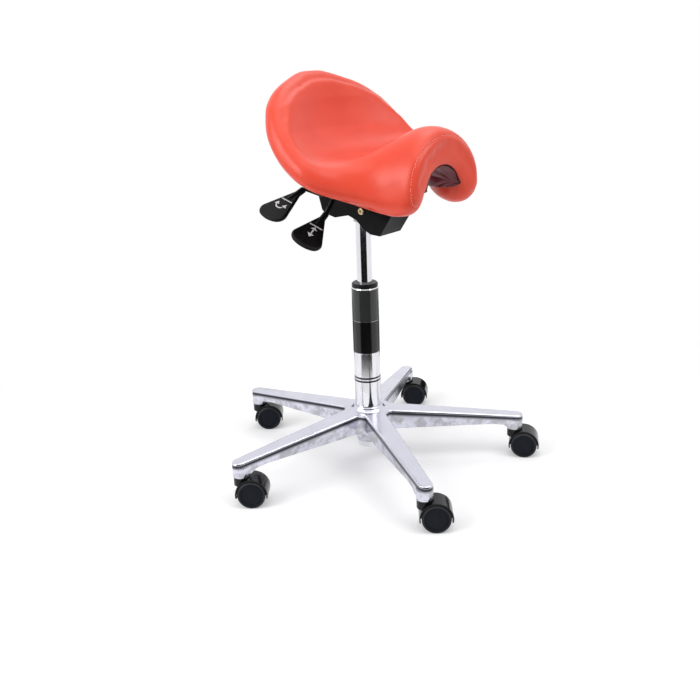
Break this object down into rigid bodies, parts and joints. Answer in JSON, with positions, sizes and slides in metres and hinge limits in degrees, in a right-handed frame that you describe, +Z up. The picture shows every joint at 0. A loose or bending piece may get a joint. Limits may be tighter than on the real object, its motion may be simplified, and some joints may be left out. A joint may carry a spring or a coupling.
{
  "type": "saddle stool",
  "caption": "Height-adjustable saddle stool: padded saddle seat with a pommel and dished cantle, tilt mechanism with two side levers, gas lift and star base on twin-wheel casters.",
  "frame": {"origin": "on the floor, on the axis of the gas lift, under the middle of the star base", "axes": "+Z up along the column; -Y towards the front of the seat (the pommel); -X towards the sitter's right, where both levers are"},
  "size_m": [0.6027, 0.5953, 0.7455],
  "materials": {
    "coral_leather": "smooth satin",
    "burgundy_lining": "soft matt",
    "shell_plastic": "fine grain",
    "black_paint": "gloss",
    "plain_steel": "turned",
    "yellow_zinc": "zinc plated",
    "lever_paint": "satin",
    "grip_plastic": "satin",
    "black_bush": "smooth",
    "bright_chrome": "polished",
    "piston_alloy": "turned",
    "black_rubber": "matt",
    "polished_alloy": "polished",
    "caster_gloss": "gloss",
    "wheel_plastic": "satin",
    "tread": "satin",
    "label_black": "blank film",
    "label_clear": "blank clear film",
    "print_white": "pad printed",
    "thread": "sewn"
  },
  "bodies": {
    "base": {"star_base": "polished_alloy", "column_tube": "bright_chrome", "column_bush": "black_bush", "thrust_bearing": "plain_steel"},
    "lift_rod": {"piston_rod": "plain_steel", "rod_piston": "piston_alloy", "rod_clip": "plain_steel", "rod_buffer": "black_rubber"},
    "mechanism": {"gas_cylinder": "bright_chrome", "mechanism_housing": "black_paint", "taper_socket": "plain_steel", "pivot_bolt": "yellow_zinc", "pivot_nut": "yellow_zinc", "lever_bushes": "black_bush"},
    "valve": {"valve_button": "plain_steel"},
    "height_control": {"height_lever": "lever_paint", "height_paddle": "grip_plastic"},
    "tilt_control": {"tilt_lever": "lever_paint", "tilt_paddle": "grip_plastic"},
    "seat": {"tilt_carrier": "black_paint", "seat_shell": "shell_plastic", "seat_cushion": "coral_leather", "seat_lining": "burgundy_lining", "seat_screws": "plain_steel", "pommel_trim": "coral_leather"},
    "caster_1": {"caster_1_hood": "caster_gloss", "caster_1_stem": "plain_steel", "caster_1_axle": "plain_steel"},
    "caster_1_left": {"caster_1_wheel_left": "wheel_plastic", "caster_1_tyre_left": "tread"},
    "caster_1_right": {"caster_1_wheel_right": "wheel_plastic", "caster_1_tyre_right": "tread"},
    "caster_2": {"caster_2_hood": "caster_gloss", "caster_2_stem": "plain_steel", "caster_2_axle": "plain_steel"},
    "caster_2_left": {"caster_2_wheel_left": "wheel_plastic", "caster_2_tyre_left": "tread"},
    "caster_2_right": {"caster_2_wheel_right": "wheel_plastic", "caster_2_tyre_right": "tread"},
    "caster_3": {"caster_3_hood": "caster_gloss", "caster_3_stem": "plain_steel", "caster_3_axle": "plain_steel"},
    "caster_3_left": {"caster_3_wheel_left": "wheel_plastic", "caster_3_tyre_left": "tread"},
    "caster_3_right": {"caster_3_wheel_right": "wheel_plastic", "caster_3_tyre_right": "tread"},
    "caster_4": {"caster_4_hood": "caster_gloss", "caster_4_stem": "plain_steel", "caster_4_axle": "plain_steel"},
    "caster_4_left": {"caster_4_wheel_left": "wheel_plastic", "caster_4_tyre_left": "tread"},
    "caster_4_right": {"caster_4_wheel_right": "wheel_plastic", "caster_4_tyre_right": "tread"},
    "caster_5": {"caster_5_hood": "caster_gloss", "caster_5_stem": "plain_steel", "caster_5_axle": "plain_steel"},
    "caster_5_left": {"caster_5_wheel_left": "wheel_plastic", "caster_5_tyre_left": "tread"},
    "caster_5_right": {"caster_5_wheel_right": "wheel_plastic", "caster_5_tyre_right": "tread"}
  },
  "joints": [
    {"name": "column_swivel", "type": "hinge", "parent": "base", "child": "lift_rod", "pos_m": [0, 0, 0.036], "axis": [0, 0, 1], "continuous": true},
    {"name": "column_height", "type": "slide", "parent": "lift_rod", "child": "mechanism", "axis": [0, 0, 1], "range_m": [-0.105, 0.04]},
    {"name": "seat_tilt", "type": "hinge", "parent": "mechanism", "child": "seat", "pos_m": [0, -0.023, 0.4985], "axis": [1, 0, 0], "range_deg": [-6, 6]},
    {"name": "height_lever_pivot", "type": "hinge", "parent": "mechanism", "child": "height_control", "pos_m": [-0.03, 0.022, 0.5243], "axis": [0, 1, 0], "range_deg": [0, 7], "stiffness_Nm_per_rad": 1.5, "springref_deg": -6.88},
    {"name": "valve_press", "type": "slide", "parent": "mechanism", "child": "valve", "axis": [0, 0, -1], "range_m": [0, 0.0038], "stiffness_N_per_m": 300, "springref_m": -0.001},
    {"name": "tilt_lever_pivot", "type": "hinge", "parent": "mechanism", "child": "tilt_control", "pos_m": [-0.03, 0.05, 0.5243], "axis": [0, 1, 0], "range_deg": [0, 10]},
    {"name": "caster_1_swivel", "type": "hinge", "parent": "base", "child": "caster_1", "pos_m": [-0.14923, -0.24163, 0.055], "axis": [0, 0, 1], "continuous": true},
    {"name": "caster_1_left_spin", "type": "hinge", "parent": "caster_1", "child": "caster_1_left", "pos_m": [-0.13759, -0.25601, 0.025], "axis": [0.7771, 0.6293, 0], "continuous": true},
    {"name": "caster_1_right_spin", "type": "hinge", "parent": "caster_1", "child": "caster_1_right", "pos_m": [-0.13759, -0.25601, 0.025], "axis": [0.7771, 0.6293, 0], "continuous": true},
    {"name": "caster_2_swivel", "type": "hinge", "parent": "base", "child": "caster_2", "pos_m": [0.18369, -0.2166, 0.055], "axis": [0, 0, 1], "continuous": true},
    {"name": "caster_2_left_spin", "type": "hinge", "parent": "caster_2", "child": "caster_2_left", "pos_m": [0.19294, -0.23262, 0.025], "axis": [0.866, 0.5, 0], "continuous": true},
    {"name": "caster_2_right_spin", "type": "hinge", "parent": "caster_2", "child": "caster_2_right", "pos_m": [0.19294, -0.23262, 0.025], "axis": [0.866, 0.5, 0], "continuous": true},
    {"name": "caster_3_swivel", "type": "hinge", "parent": "base", "child": "caster_3", "pos_m": [0.26276, 0.10777, 0.055], "axis": [0, 0, 1], "continuous": true},
    {"name": "caster_3_left_spin", "type": "hinge", "parent": "caster_3", "child": "caster_3_left", "pos_m": [0.27256, 0.09208, 0.025], "axis": [0.848, 0.5299, 0], "continuous": true},
    {"name": "caster_3_right_spin", "type": "hinge", "parent": "caster_3", "child": "caster_3_right", "pos_m": [0.27256, 0.09208, 0.025], "axis": [0.848, 0.5299, 0], "continuous": true},
    {"name": "caster_4_swivel", "type": "hinge", "parent": "base", "child": "caster_4", "pos_m": [-0.02129, 0.2832, 0.055], "axis": [0, 0, 1], "continuous": true},
    {"name": "caster_4_left_spin", "type": "hinge", "parent": "caster_4", "child": "caster_4_left", "pos_m": [-0.00891, 0.26945, 0.025], "axis": [0.7431, 0.6691, 0], "continuous": true},
    {"name": "caster_4_right_spin", "type": "hinge", "parent": "caster_4", "child": "caster_4_right", "pos_m": [-0.00891, 0.26945, 0.025], "axis": [0.7431, 0.6691, 0], "continuous": true},
    {"name": "caster_5_swivel", "type": "hinge", "parent": "base", "child": "caster_5", "pos_m": [-0.27592, 0.06726, 0.055], "axis": [0, 0, 1], "continuous": true},
    {"name": "caster_5_left_spin", "type": "hinge", "parent": "caster_5", "child": "caster_5_left", "pos_m": [-0.26453, 0.05268, 0.025], "axis": [0.788, 0.6157, 0], "continuous": true},
    {"name": "caster_5_right_spin", "type": "hinge", "parent": "caster_5", "child": "caster_5_right", "pos_m": [-0.26453, 0.05268, 0.025], "axis": [0.788, 0.6157, 0], "continuous": true}
  ],
  "couplings": [
    {"joint": "valve_press", "follows": "height_lever_pivot", "m_per_rad": 0.03}
  ]
}
